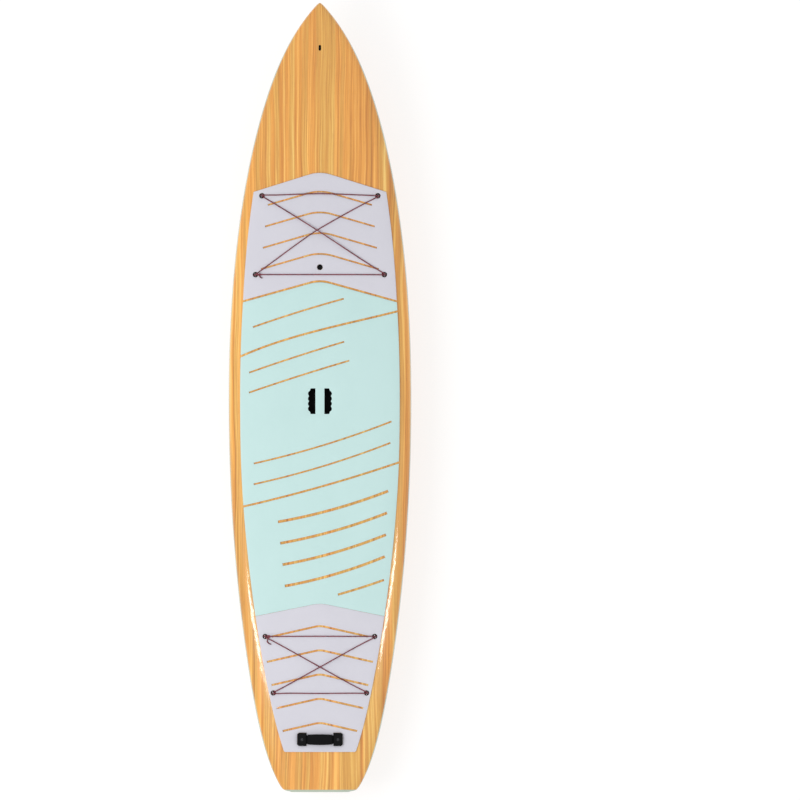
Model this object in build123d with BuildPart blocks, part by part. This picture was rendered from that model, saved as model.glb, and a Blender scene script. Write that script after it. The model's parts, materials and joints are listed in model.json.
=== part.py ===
"""Stand up paddleboard, 11 ft 6 in by 32 in: a foam blank between wood veneer skins,
with deck pads, two bungee nets, a recessed carry handle, a tail handle and a centre fin.

Millimetres. +Y runs to the nose, +X to the right of someone standing on the deck, +Z up.
The origin is at mid-length on the centre line, level with the tip of the fin.
"""

from build123d import *
import math
import os

# ------------------------------------------------------------------ driving dimensions
LENGTH = 3505
WIDTH = 813
THICKNESS = 127
SKIN = 1.5
PAD = 5

HALF_LENGTH = LENGTH / 2
HALF_WIDTH = WIDTH / 2
WIDE_POINT = -13
LOW_POINT = -100
NOSE_ROCKER = 140
TAIL_ROCKER = 45
NOSE_FLAT = 1
NOSE_TAPER = 90
NOSE_ROUND = 16
TAIL_ROUND = 13
TAIL_CORNER = 30
APEX_SHARE = 0.45
BAND_ABOVE = 0.22
BAND_BELOW = 0.15
TAIL_BAND = 11
STATIONS = 41

STRINGER = 4
PRISM = 400

# Deck pads
PAD_MARGIN = 52
CHEVRON_SLOPE = 0.29
REAR_CHEVRON_SLOPE = 0.228
SLOT_WIDTH = 7.5
REAR_SLOT_WIDTH = 9
LOW_SLOT_WIDTH = 12
SEAM_WIDTH = 9
SLOT_SAG = 13
CHEVRON_ROUND = 200
REAR_CHEVRON_ROUND = 90
APEX_ROUND = 160
FRONT_PAD_TIP = 1006
FRONT_PAD_SHOULDER = 914
FRONT_PAD_FOOT = 528
MINT_TOP = 519
MINT_FOOT = -912
REAR_PAD_END = -1573

# Recessed carry handle
HANDLE_Y = -15
HANDLE_LENGTH = 112
BAR_WIDTH = 42
SLOT_REACH = 52
FINGER_PITCH = 22.4
FINGER_RADIUS = 12
CUP_X = 128
CUP_Y = 140
CUP_DEPTH = 52
CUP_FLOOR = 6
CUP_CORNER = 14
CUP_SINK = 0.1
BAR_DEPTH = 18
BLOCK_MARGIN = 22
BLOCK_FLOOR = 8
BLOCK_CORNER = 20
PROUD = 3

# Bungee nets: half spacing across and station of each pair of anchors, the knot's pair first,
# how far the middle of each strand lies from straight: diagonal, far, diagonal, near,
# and the cord's loose end: places from the knot in plan, with their heights above the deck
CORD = 5
FRONT_NET = ((286, 547), (257, 897))
FRONT_BOWS = ((-13, 13), (0, 9), (-13, 13), (0, 0))
FRONT_END = ((2, -7, 10), (6, -13, 8.2), (14, -15, 8.2))
REAR_NET = ((243, -1060), (207, -1311))
REAR_BOWS = ((0, 0), (0, -2), (0, 0), (0, 1))
REAR_END = ((-3, -6, 14), (-7, -15, 13.8), (-8, -25, 8.2), (0, -32, 8.2), (10, -35, 8.2))
ANCHOR_RADIUS = 11
ANCHOR_BORE = 9.2
ANCHOR_DEPTH = 14
ANCHOR_FLOOR = -4.5
ANCHOR_RIM = PAD + 0.4
ANCHOR_BAR = 1.5
BAR_HEIGHT = PAD - 1.2
BAR_BACK = 1.6
CORD_OVER = PAD + 3.4
CORD_UNDER = 2 * BAR_HEIGHT - CORD_OVER
CORD_LIFT = CORD / 2 + 0.9
CORD_BEND = 5.5
STRAND_BEND = 300
STRAND_MIDDLE = 0.44
CROSSING_HUMP = CORD + 0.9
KNOT_HALF = 8
KNOT_RADIUS = 6
KNOT_ROUND = 4
KNOT_HEIGHT = PAD + KNOT_RADIUS + 0.3
KNOT_AHEAD = 17
KNOT_ASIDE = 5

# Vent plug and nose eye
VENT_Y = 580
VENT_RADIUS = 11.8
VENT_DEPTH = 22
VENT_TOP = 1.2
VENT_BORE = 8.05
CAP_STEM = 8.0
CAP_RADIUS = 11.2
CAP_SEAT = 3.2
CAP_HEIGHT = 3
RING_RADIUS = 9.5
RING_SECTION = 0.7
EYE_Y = 1553
EYE_LENGTH = 25
EYE_WIDTH = 11
EYE_MOUTH_LENGTH = 18
EYE_MOUTH_WIDTH = 6.4
EYE_DEPTH = 16
EYE_BAR_DEPTH = 3.2

# Tail handle
TAIL_Y = -1517
GRIP_HALF = 55
GRIP_WIDTH = 46
GRIP_THICK = 14
GRIP_END = 15
GRIP_MIDDLE = 24
TAIL_CAP_INNER = 60.5
TAIL_CAP_OUTER = 100.5
TAIL_CAP_WIDTH = 58
TAIL_CAP_CORNER = 11
TAIL_CAP_HEIGHT = 18
TAIL_CAP_SINK = 3
STRAP_WIDTH = 38
STRAP_THICK = 2.4
STRAP_HEIGHT = 12
TAIL_SCREW_X = 80
INSERT_TOP = -3
INSERT_LENGTH = 18
TAIL_BLOCK_DEPTH = 26

# Fin and fin box, in the plane of the bottom at the box: y to the nose, z into the board
BOX_Y = -1368
BOX_FLANGE_LENGTH = 270
BOX_FLANGE_WIDTH = 30
BOX_FLANGE = 2.5
BOX_BODY_LENGTH = 262
BOX_BODY_WIDTH = 21
BOX_DEPTH = 32
BOX_SLOT_LENGTH = 250
BOX_SLOT_WIDTH = 9.6
BOX_SLOT_DEPTH = 26
TRACK_LOW = 7.2
TRACK_HIGH = 11.6
TRACK_WIDTH = 15.2
FIN_DEPTH = 229
FIN_THICK = 8.9
FIN_BACK = -124.6
FIN_FRONT = 73.4
FIN_TAB_BACK = 52
FIN_TAB = 5.2
FIN_ROOT_DEPTH = 20
FIN_TIP_BACK = -231
FIN_TIP_FRONT = -218
FIN_ROOT_BACK = -122
FIN_ROOT_FRONT = 50
FIN_SECTIONS = 9
PIN_RADIUS = 1.9
PIN_LENGTH = 14.6
PIN_Y = -112
FIN_SCREW_Y = 63
SCREW_RADIUS = 2.0


# ------------------------------------------------------------------ hull form
def end_cut(distance, radius):
    """How far a round edge has cut in, at a distance from the end that it rounds."""
    left = max(0.0, 1 - distance / radius)
    return radius * (1 - math.sqrt(1 - left**2))


def ahead(y, start):
    """0 at start and 1 at the nose."""
    return max(0.0, (y - start) / (HALF_LENGTH - start))


def behind(y, start):
    """0 at start and 1 at the tail."""
    return max(0.0, (start - y) / (HALF_LENGTH + start))


def half_width(y):
    """The plan outline: a pointed nose, a full middle and a square tail."""
    if y > WIDE_POINT:
        run = (y - WIDE_POINT) / (HALF_LENGTH + NOSE_FLAT - WIDE_POINT)
        tip = 1 - 0.36 * math.exp((y - HALF_LENGTH) / NOSE_TAPER)
        return HALF_WIDTH * (1 - run**2.2) ** 0.67 * tip
    run = behind(y, WIDE_POINT)
    width = HALF_WIDTH * (1 - 0.476 * run**2.1 - 0.13 * run**14)
    return width - end_cut(y + HALF_LENGTH, TAIL_CORNER)


def rocker(y):
    """Rise of the bottom's centre line above its lowest point."""
    return NOSE_ROCKER * ahead(y, LOW_POINT) ** 2.6 + TAIL_ROCKER * behind(y, LOW_POINT) ** 2.4


BOX_SLOPE = (rocker(BOX_Y + 1) - rocker(BOX_Y - 1)) / 2
BOX_TILT = math.atan(BOX_SLOPE)
HULL_BASE = FIN_DEPTH * math.cos(BOX_TILT) - FIN_TIP_FRONT * math.sin(BOX_TILT) - rocker(BOX_Y)


def profile(y):
    """Half width, then the heights of bottom, rail apex and deck, at station y."""
    full = THICKNESS * (1 - 0.62 * ahead(y, LOW_POINT) ** 3 - 0.58 * behind(y, LOW_POINT) ** 3)
    keel = HULL_BASE + rocker(y)
    cut = end_cut(HALF_LENGTH - y, NOSE_ROUND) + end_cut(HALF_LENGTH + y, TAIL_ROUND)
    return half_width(y), keel + cut, keel + APEX_SHARE * full, keel + full - cut


def fullness(width, deck):
    """How square the section is: the Bezier poles' shares of its height and its width."""
    share = width / HALF_WIDTH
    if deck:
        return 0.70 + 0.15 * share, 0.75 + 0.22 * share
    return 0.75 + 0.10 * share, 0.80 + 0.20 * share


def quarter(width, apex, edge, deck, outward):
    """One quarter of a section, between the rail apex and the centre line."""
    swell, reach = fullness(abs(width), deck)
    poles = [
        (width, apex),
        (width, apex + swell * (edge - apex)),
        (width * reach, edge),
        (0, edge),
    ]
    Bezier(*(poles if outward else poles[::-1]))


def hull_solid(inset):
    """The hull's solid form, with its surface moved in by inset."""
    with BuildPart() as form:
        for station in range(STATIONS):
            y = -HALF_LENGTH * math.cos(math.pi * station / (STATIONS - 1))
            width, bottom, apex, deck = profile(y)
            with BuildSketch(Plane.XZ.offset(-y * (1 - inset / HALF_LENGTH))):
                with BuildLine():
                    quarter(width - inset, apex, deck - inset, True, True)
                    quarter(inset - width, apex, deck - inset, True, False)
                    quarter(inset - width, apex, bottom + inset, False, True)
                    quarter(width - inset, apex, bottom + inset, False, False)
                make_face()
        loft()
    return form.part


def deck_height(x, y):
    """Height of the deck at a place in plan, found on its station's section."""
    width, _, apex, deck = profile(y)
    swell, reach = fullness(width, True)
    low, high = 0.0, 1.0
    for _ in range(40):
        t = (low + high) / 2
        across = (1 - t) ** 3 + 3 * (1 - t) ** 2 * t + 3 * (1 - t) * t**2 * reach
        low, high = (t, high) if across * width > abs(x) else (low, t)
    rise = 3 * (1 - t) ** 2 * t * swell + 3 * (1 - t) * t**2 + t**3
    return apex + (deck - apex) * rise


def deck_plane(x, y, toward=(1, 0)):
    """The plane that touches the deck at x, y, with its x axis toward a plan direction."""
    slope_x = (deck_height(x + 1, y) - deck_height(x - 1, y)) / 2
    slope_y = (deck_height(x, y + 1) - deck_height(x, y - 1)) / 2
    climb = slope_x * toward[0] + slope_y * toward[1]
    return Plane(
        origin=(x, y, deck_height(x, y)),
        x_dir=(toward[0], toward[1], climb),
        z_dir=(-slope_x, -slope_y, 1),
    )


def box_plane(height=0):
    """The plane of the bottom at the fin box: y to the nose, z into the board."""
    normal = Vector(0, -math.sin(BOX_TILT), math.cos(BOX_TILT))
    middle = Vector(0, BOX_Y, HULL_BASE + rocker(BOX_Y))
    return Plane(origin=middle + normal * height, x_dir=(1, 0, 0), z_dir=normal)


def finish(part, name):
    """Names a finished piece and writes it."""
    part.label = name
    export_step(part, f"parts/{name}.step")


os.makedirs("parts", exist_ok=True)
hull = hull_solid(0)
blank = hull_solid(SKIN)


# ------------------------------------------------------------------ recessed carry handle
HANDLE_TOP = deck_height(0, HANDLE_Y)
handle_plane = Plane(origin=(0, HANDLE_Y, HANDLE_TOP))


def hand_slot(margin=0):
    """The right hand slot in plan: straight beside the bar, four finger bays outside."""
    edge = SLOT_REACH - 4
    inner = BAR_WIDTH / 2
    half = HANDLE_LENGTH / 2
    with BuildSketch() as slot:
        with BuildLine():
            Polyline(
                (inner, -half), (edge - 8, -half), (edge, -half + 22),
                (edge, half - 22), (edge - 8, half), (inner, half), close=True,
            )
        make_face()
        bay_x = SLOT_REACH - FINGER_RADIUS
        with Locations(*[(bay_x, (bay - 1.5) * FINGER_PITCH) for bay in range(4)]):
            Circle(FINGER_RADIUS)
        if margin:
            offset(amount=margin)
    return slot.sketch


def both_slots(margin=0):
    """The two hand slots, one each side of the bar."""
    with BuildSketch() as slots:
        add(hand_slot(margin))
        mirror(about=Plane.YZ)
    return slots.sketch


def footprint(plane, length_x, length_y, corner, depth):
    """A rounded block that hangs below a plane."""
    with BuildPart() as block:
        with BuildSketch(plane):
            RectangleRounded(length_x, length_y, corner)
        extrude(amount=-depth)
    return block.part


cup_space = footprint(handle_plane.offset(PROUD), CUP_X, CUP_Y, CUP_CORNER, CUP_DEPTH + PROUD)
block_space = footprint(
    handle_plane.offset(PROUD),
    CUP_X + 2 * BLOCK_MARGIN,
    CUP_Y + 2 * BLOCK_MARGIN,
    BLOCK_CORNER,
    CUP_DEPTH + BLOCK_FLOOR + PROUD,
)

with BuildPart() as handle_cup:
    add(cup_space)
    with BuildSketch(handle_plane.offset(PROUD)):
        add(both_slots())
    extrude(amount=-(CUP_DEPTH + PROUD - CUP_FLOOR), mode=Mode.SUBTRACT)
    with BuildSketch(handle_plane.offset(-BAR_DEPTH)):
        Rectangle(BAR_WIDTH + 2, HANDLE_LENGTH)
    extrude(amount=-(CUP_DEPTH - CUP_FLOOR - BAR_DEPTH), mode=Mode.SUBTRACT)
    add(hull.moved(Location((0, 0, -CUP_SINK))), mode=Mode.INTERSECT)
finish(handle_cup.part, "handle_cup")

with BuildPart() as handle_block:
    add(block_space)
    add(blank, mode=Mode.INTERSECT)
    add(cup_space, mode=Mode.SUBTRACT)
finish(handle_block.part, "handle_block")


# ------------------------------------------------------------------ fin box
def box_slab(length, width, low, high, mode=Mode.ADD, y=0):
    """A block along the fin box, between two heights above the bottom."""
    with BuildSketch(box_plane(low)) as slab:
        with Locations((0, y)):
            Rectangle(width, length)
    extrude(slab.sketch, amount=high - low, mode=mode)


with BuildPart() as box_space:
    with BuildSketch(box_plane(-5)):
        SlotOverall(BOX_FLANGE_LENGTH, BOX_FLANGE_WIDTH, rotation=90)
    extrude(amount=5 + BOX_FLANGE)
    box_slab(BOX_BODY_LENGTH, BOX_BODY_WIDTH, -5, BOX_DEPTH)

with BuildPart() as fin_box:
    with BuildSketch(box_plane(0)):
        SlotOverall(BOX_FLANGE_LENGTH, BOX_FLANGE_WIDTH, rotation=90)
    extrude(amount=BOX_FLANGE)
    box_slab(BOX_BODY_LENGTH, BOX_BODY_WIDTH, 0, BOX_DEPTH)
    box_slab(BOX_SLOT_LENGTH, BOX_SLOT_WIDTH, 0, BOX_SLOT_DEPTH, Mode.SUBTRACT)
    box_slab(BOX_SLOT_LENGTH, TRACK_WIDTH, TRACK_LOW, TRACK_HIGH, Mode.SUBTRACT)
    box_slab(7, TRACK_WIDTH, 0, TRACK_HIGH, Mode.SUBTRACT, y=8.5)
finish(fin_box.part, "fin_box")

with BuildPart() as fin_block_space:
    box_slab(BOX_BODY_LENGTH + 40, 70, -5, BOX_DEPTH + 20)

with BuildPart() as fin_block:
    add(fin_block_space.part)
    add(blank, mode=Mode.INTERSECT)
    add(box_space.part, mode=Mode.SUBTRACT)
finish(fin_block.part, "fin_block")


# ------------------------------------------------------------------ small deck fittings
def anchors(net):
    """The four anchors of a net in the cord's order, each with its cords' pull and its side."""
    (near_x, near_y), (far_x, far_y) = net
    corners = [(-near_x, near_y), (far_x, far_y), (-far_x, far_y), (near_x, near_y)]
    found = []
    for place, corner in enumerate(corners):
        before = Vector(*corners[place - 1], 0) - Vector(*corner, 0)
        after = Vector(*corners[(place + 1) % 4], 0) - Vector(*corner, 0)
        pull = (before.normalized() + after.normalized()).normalized()
        side = 1 if pull.cross(before).Z > 0 else -1
        found.append((corner, (pull.X, pull.Y), side))
    return found


def anchor_cups(net):
    """Four moulded cups, each bored across for its bar."""
    with BuildPart() as cups:
        for corner, pull, _ in anchors(net):
            plane = deck_plane(*corner, toward=pull)
            with BuildSketch(plane.offset(-ANCHOR_DEPTH)):
                Circle(ANCHOR_RADIUS)
            extrude(amount=ANCHOR_DEPTH + ANCHOR_RIM)
            with BuildSketch(plane.offset(ANCHOR_FLOOR)):
                Circle(ANCHOR_BORE)
            extrude(amount=ANCHOR_RIM - ANCHOR_FLOOR + 1, mode=Mode.SUBTRACT)
        for plane in bar_planes(net):
            with BuildSketch(plane):
                Circle(ANCHOR_BAR)
            extrude(amount=ANCHOR_RADIUS - 0.4, both=True, mode=Mode.SUBTRACT)
    return cups.part


def bar_planes(net):
    """Planes across each anchor's bar, at its middle."""
    planes = []
    for corner, pull, _ in anchors(net):
        plane = deck_plane(*corner, toward=pull)
        middle = plane.from_local_coords(Vector(-BAR_BACK, 0, BAR_HEIGHT))
        planes.append(Plane(origin=middle, x_dir=plane.x_dir, z_dir=plane.y_dir))
    return planes


def anchor_bars(net):
    """Four steel bars, pressed across the cups."""
    with BuildPart() as bars:
        for plane in bar_planes(net):
            with BuildSketch(plane):
                Circle(ANCHOR_BAR)
            extrude(amount=ANCHOR_RADIUS - 1.2, both=True)
    return bars.part


def round_space(plane, radius, depth, above=0):
    """A round space below a plane, and above it where asked."""
    with BuildPart() as space:
        with BuildSketch(plane.offset(above)):
            Circle(radius)
        extrude(amount=-(depth + above))
    return space.part


vent_plane = deck_plane(0, VENT_Y)
with BuildPart() as vent_body:
    with BuildSketch(vent_plane.offset(-VENT_DEPTH)):
        Circle(VENT_RADIUS - 1.5)
    extrude(amount=VENT_DEPTH)
    with BuildSketch(vent_plane.offset(-3)):
        Circle(VENT_RADIUS)
    extrude(amount=3 + VENT_TOP)
    with BuildSketch(vent_plane.offset(VENT_TOP)):
        Circle(VENT_BORE)
    extrude(amount=-14, mode=Mode.SUBTRACT)
    with BuildSketch(vent_plane.offset(-VENT_DEPTH)):
        Circle(1.5)
    extrude(amount=10, mode=Mode.SUBTRACT)
finish(vent_body.part, "vent_body")

with BuildPart() as vent_ring:
    with BuildSketch(Plane(vent_plane.origin, x_dir=vent_plane.x_dir, z_dir=-vent_plane.y_dir)):
        with Locations((RING_RADIUS, (VENT_TOP + CAP_SEAT) / 2)):
            Circle(RING_SECTION)
    revolve(axis=Axis(vent_plane.origin, vent_plane.z_dir))
finish(vent_ring.part, "vent_ring")

with BuildPart() as vent_cap:
    with BuildSketch(vent_plane.offset(CAP_SEAT)):
        Circle(CAP_RADIUS)
    extrude(amount=CAP_HEIGHT)
    fillet(vent_cap.faces().sort_by(Axis.Z)[-1].edges(), 0.9)
    with BuildSketch(vent_plane.offset(CAP_SEAT)):
        Circle(CAP_STEM)
    extrude(amount=-11)
    with BuildSketch(vent_plane.offset(CAP_SEAT + CAP_HEIGHT)):
        SlotOverall(15, 2.4)
    extrude(amount=-1.6, mode=Mode.SUBTRACT)
finish(vent_cap.part, "vent_cap")

eye_plane = deck_plane(0, EYE_Y)
eye_bar_middle = eye_plane.from_local_coords(Vector(0, 0, -EYE_BAR_DEPTH))
with BuildPart() as nose_eye:
    with BuildSketch(eye_plane.offset(-EYE_DEPTH)):
        SlotOverall(EYE_LENGTH, EYE_WIDTH, rotation=90)
    extrude(amount=EYE_DEPTH + 0.4)
    with BuildSketch(eye_plane.offset(0.4)):
        SlotOverall(EYE_MOUTH_LENGTH, EYE_MOUTH_WIDTH, rotation=90)
    extrude(amount=-12, mode=Mode.SUBTRACT)
    with BuildSketch(Plane(eye_bar_middle, z_dir=(1, 0, 0))):
        Circle(ANCHOR_BAR)
    extrude(amount=EYE_WIDTH / 2 - 0.8, both=True, mode=Mode.SUBTRACT)
finish(nose_eye.part, "nose_eye")

with BuildPart() as nose_eye_bar:
    with BuildSketch(Plane(eye_bar_middle, z_dir=(1, 0, 0))):
        Circle(ANCHOR_BAR)
    extrude(amount=EYE_WIDTH / 2 - 1, both=True)
finish(nose_eye_bar.part, "nose_eye_bar")

with BuildPart() as eye_space:
    with BuildSketch(eye_plane.offset(5)):
        SlotOverall(EYE_LENGTH, EYE_WIDTH, rotation=90)
    extrude(amount=-(EYE_DEPTH + 5))

for name, net in (("front", FRONT_NET), ("rear", REAR_NET)):
    finish(anchor_cups(net), f"{name}_anchor_cups")
    finish(anchor_bars(net), f"{name}_anchor_bars")


# ------------------------------------------------------------------ tail handle
tail_plane = deck_plane(0, TAIL_Y)
tail_side = Plane(tail_plane.origin, x_dir=(1, 0, 0), z_dir=-tail_plane.y_dir)


def cap_outline(side, margin):
    """The outline of an end cap, with its outer corners rounded, and a margin round it."""
    with BuildSketch() as outline:
        with Locations((side * (TAIL_CAP_INNER + TAIL_CAP_OUTER) / 2, 0)):
            Rectangle(TAIL_CAP_OUTER - TAIL_CAP_INNER + 2 * margin, TAIL_CAP_WIDTH + 2 * margin)
        fillet(vertices().group_by(Axis.X)[-1 if side > 0 else 0], TAIL_CAP_CORNER + margin)
    return outline.sketch


def tail_cap(side):
    """A moulded end cap: a rounded block with a pocket for the strap and a screw seat."""
    with BuildPart() as cap:
        with BuildSketch(tail_plane.offset(-TAIL_CAP_SINK)):
            add(cap_outline(side, 0))
        extrude(amount=TAIL_CAP_HEIGHT + TAIL_CAP_SINK)
        fillet(cap.faces().sort_by(Axis.Z)[-1].edges(), 3.5)
        add(hull, mode=Mode.SUBTRACT)
        with BuildSketch(tail_side):
            with Locations((side * (TAIL_CAP_INNER + 15), STRAP_HEIGHT)):
                Rectangle(32, STRAP_THICK + 1.6)
        extrude(amount=STRAP_WIDTH / 2 + 1, both=True, mode=Mode.SUBTRACT)
        with BuildSketch(tail_plane):
            with Locations((side * TAIL_SCREW_X, 0)):
                Circle(3.3)
        extrude(amount=TAIL_CAP_HEIGHT, both=True, mode=Mode.SUBTRACT)
        with BuildSketch(tail_plane.offset(TAIL_CAP_HEIGHT)):
            with Locations((side * TAIL_SCREW_X, 0)):
                Circle(7)
        extrude(amount=-3, mode=Mode.SUBTRACT)
    return cap.part


def tail_strap(side):
    """The end of the webbing strap, from inside its cap to the grip."""
    with BuildPart() as strap:
        with BuildSketch(tail_side):
            with Locations((side * (GRIP_HALF + 90) / 2, STRAP_HEIGHT)):
                Rectangle(90 - GRIP_HALF - 0.4, STRAP_THICK)
        extrude(amount=STRAP_WIDTH / 2, both=True)
        with BuildSketch(tail_plane):
            with Locations((side * TAIL_SCREW_X, 0)):
                Circle(3.3)
        extrude(amount=TAIL_CAP_HEIGHT, mode=Mode.SUBTRACT)
    return strap.part


for name, side in (("left", -1), ("right", 1)):
    finish(tail_cap(side), f"tail_cap_{name}")
    finish(tail_strap(side), f"tail_strap_{name}")

with BuildPart() as tail_grip:
    with BuildSketch(tail_side):
        with BuildLine():
            upper = ThreePointArc(
                (-GRIP_HALF, GRIP_END + GRIP_THICK / 2),
                (0, GRIP_MIDDLE + GRIP_THICK / 2),
                (GRIP_HALF, GRIP_END + GRIP_THICK / 2),
            )
            lower = ThreePointArc(
                (-GRIP_HALF, GRIP_END - GRIP_THICK / 2),
                (0, GRIP_MIDDLE - GRIP_THICK / 2),
                (GRIP_HALF, GRIP_END - GRIP_THICK / 2),
            )
            Line(upper @ 0, lower @ 0)
            Line(upper @ 1, lower @ 1)
        make_face()
    extrude(amount=GRIP_WIDTH / 2, both=True)
    fillet(tail_grip.edges().filter_by(GeomType.CIRCLE), 5)
finish(tail_grip.part, "tail_grip")

with BuildPart() as tail_screws:
    for side in (-1, 1):
        with BuildSketch(tail_plane.offset(-16)):
            with Locations((side * TAIL_SCREW_X, 0)):
                Circle(3)
        extrude(amount=16 + TAIL_CAP_HEIGHT - 3)
        with BuildSketch(tail_plane.offset(TAIL_CAP_HEIGHT - 3)):
            with Locations((side * TAIL_SCREW_X, 0)):
                Circle(6)
        extrude(amount=3.6)
        with BuildSketch(tail_plane.offset(TAIL_CAP_HEIGHT + 0.6)):
            with Locations((side * TAIL_SCREW_X, 0)):
                RegularPolygon(2, 6)
        extrude(amount=-2.2, mode=Mode.SUBTRACT)
finish(tail_screws.part, "tail_screws")

with BuildPart() as tail_inserts:
    for side in (-1, 1):
        with BuildSketch(tail_plane.offset(INSERT_TOP - INSERT_LENGTH)):
            with Locations((side * TAIL_SCREW_X, 0)):
                Circle(6)
                Circle(3.05, mode=Mode.SUBTRACT)
        extrude(amount=INSERT_LENGTH)
finish(tail_inserts.part, "tail_inserts")

with BuildPart() as tail_block_space:
    with BuildSketch(tail_plane.offset(5)):
        RectangleRounded(220, 60, 12)
    extrude(amount=-(TAIL_BLOCK_DEPTH + 5))

with BuildPart() as tail_block:
    add(tail_block_space.part)
    add(blank, mode=Mode.INTERSECT)
    with BuildSketch(tail_plane):
        with Locations((-TAIL_SCREW_X, 0), (TAIL_SCREW_X, 0)):
            Circle(6)
    extrude(amount=INSERT_TOP - INSERT_LENGTH, mode=Mode.SUBTRACT)
finish(tail_block.part, "tail_block")


# ------------------------------------------------------------------ fin
def lens(front, back, thick):
    """A fin section: two arcs that meet at the leading and trailing edges."""
    middle = (front + back) / 2
    ThreePointArc((0, back), (thick / 2, middle + (front - back) * 0.08), (0, front))
    ThreePointArc((0, front), (-thick / 2, middle + (front - back) * 0.08), (0, back))


def fin_edges(share):
    """Leading and trailing edge at a share of the fin's depth: a raked, curved blade."""
    front = FIN_ROOT_FRONT + (FIN_TIP_FRONT - FIN_ROOT_FRONT) * share**1.25
    sweep = (FIN_TIP_BACK - FIN_ROOT_BACK) * share**2.1
    return front, FIN_ROOT_BACK + sweep + 12 * math.sin(math.pi * share)


with BuildPart() as fin_blade:
    for section in range(FIN_SECTIONS):
        share = section / (FIN_SECTIONS - 1)
        with BuildSketch(box_plane(-FIN_DEPTH * share)):
            with BuildLine():
                lens(*fin_edges(share), FIN_THICK - 0.4 - 6 * share)
            make_face()
    loft()
    box_slab(FIN_TAB_BACK - FIN_BACK, FIN_THICK, 0, FIN_ROOT_DEPTH, y=(FIN_TAB_BACK + FIN_BACK) / 2)
    box_slab(FIN_FRONT - FIN_TAB_BACK, FIN_THICK, 0.2, FIN_TAB, y=(FIN_TAB_BACK + FIN_FRONT) / 2)
    with BuildSketch(box_plane(0)):
        with Locations((0, FIN_SCREW_Y)):
            Circle(3.85)
    extrude(amount=2.9, mode=Mode.SUBTRACT)
    with BuildSketch(box_plane(0)):
        with Locations((0, FIN_SCREW_Y)):
            Circle(2.35)
    extrude(amount=FIN_TAB + 1, mode=Mode.SUBTRACT)
    pin_middle = box_plane((TRACK_LOW + TRACK_HIGH) / 2).from_local_coords(Vector(0, PIN_Y, 0))
    with BuildSketch(Plane(pin_middle, z_dir=(1, 0, 0))):
        Circle(PIN_RADIUS)
    extrude(amount=FIN_THICK, both=True, mode=Mode.SUBTRACT)
finish(fin_blade.part, "fin_blade")

with BuildPart() as fin_pin:
    with BuildSketch(Plane(pin_middle, z_dir=(1, 0, 0))):
        Circle(PIN_RADIUS)
    extrude(amount=PIN_LENGTH / 2, both=True)
finish(fin_pin.part, "fin_pin")

with BuildPart() as fin_screw:
    with BuildSketch(box_plane(0.4)):
        with Locations((0, FIN_SCREW_Y)):
            Circle(3.5)
    extrude(amount=2.2)
    with BuildSketch(box_plane(0.4)):
        with Locations((0, FIN_SCREW_Y)):
            Circle(SCREW_RADIUS)
    extrude(amount=13)
    with BuildSketch(box_plane(0.4)):
        with Locations((0, FIN_SCREW_Y)):
            Rectangle(1, 5)
            Rectangle(5, 1)
    extrude(amount=1.3, mode=Mode.SUBTRACT)
finish(fin_screw.part, "fin_screw")

with BuildPart() as fin_plate:
    with BuildSketch(box_plane(TRACK_LOW + 0.3)):
        with Locations((0, FIN_SCREW_Y)):
            Rectangle(PIN_LENGTH, 12)
            Circle(SCREW_RADIUS + 0.05, mode=Mode.SUBTRACT)
    extrude(amount=2.6)
finish(fin_plate.part, "fin_plate")


# ------------------------------------------------------------------ skins, rails and blank
def rail_zone():
    """The band of height along the rails, and the tail's edge, that the skins leave clear."""
    stations = [HALF_LENGTH * (step / 8 - 1) for step in range(17)]
    band = []
    for y in stations:
        _, bottom, apex, deck = profile(y)
        band.append((y, apex, deck - bottom))
    with BuildPart() as zone:
        with BuildSketch(Plane.YZ):
            with BuildLine():
                upper = Spline(*[(y, apex + BAND_ABOVE * full) for y, apex, full in band])
                lower = Spline(*[(y, apex - BAND_BELOW * full) for y, apex, full in band])
                for end, beyond in ((0, Vector(-30, 0)), (1, Vector(30, 0))):
                    Polyline(upper @ end, upper @ end + beyond, lower @ end + beyond, lower @ end)
            make_face()
            with Locations((TAIL_BAND - HALF_LENGTH - PRISM / 2, HULL_BASE + THICKNESS / 2)):
                Rectangle(PRISM, PRISM)
        extrude(amount=HALF_WIDTH + 30, both=True)
    return zone.part


fitting_spaces = [cup_space, box_space.part, eye_space.part]
fitting_spaces.append(round_space(vent_plane, VENT_RADIUS, 3, above=5))
fitting_spaces.append(round_space(vent_plane, VENT_RADIUS - 1.5, VENT_DEPTH))
for net in (FRONT_NET, REAR_NET):
    for corner, pull, _ in anchors(net):
        fitting_spaces.append(round_space(deck_plane(*corner), ANCHOR_RADIUS, ANCHOR_DEPTH, above=8))
for side in (-1, 1):
    seat = tail_plane.from_local_coords(Vector(side * TAIL_SCREW_X, 0, 0))
    fitting_spaces.append(round_space(Plane(seat, z_dir=tail_plane.z_dir), 3.3, 10, above=5))

with BuildPart() as shell:
    add(hull)
    add(blank, mode=Mode.SUBTRACT)
    for space in fitting_spaces:
        add(space, mode=Mode.SUBTRACT)

rails = rail_zone()
with BuildPart() as rail_band:
    add(shell.part)
    add(rails, mode=Mode.INTERSECT)
finish(rail_band.part, "rail_band")

with BuildPart() as skins:
    add(shell.part)
    add(rails, mode=Mode.SUBTRACT)

with BuildPart() as deck_skin:
    add(skins.solids().sort_by(Axis.Z)[-1])
finish(deck_skin.part, "deck_skin")

with BuildPart() as bottom_skin:
    add(skins.solids().sort_by(Axis.Z)[0])
finish(bottom_skin.part, "bottom_skin")

with BuildPart() as foam:
    add(blank)
    for space in fitting_spaces + [fin_block_space.part, tail_block_space.part, block_space]:
        add(space, mode=Mode.SUBTRACT)

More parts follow.
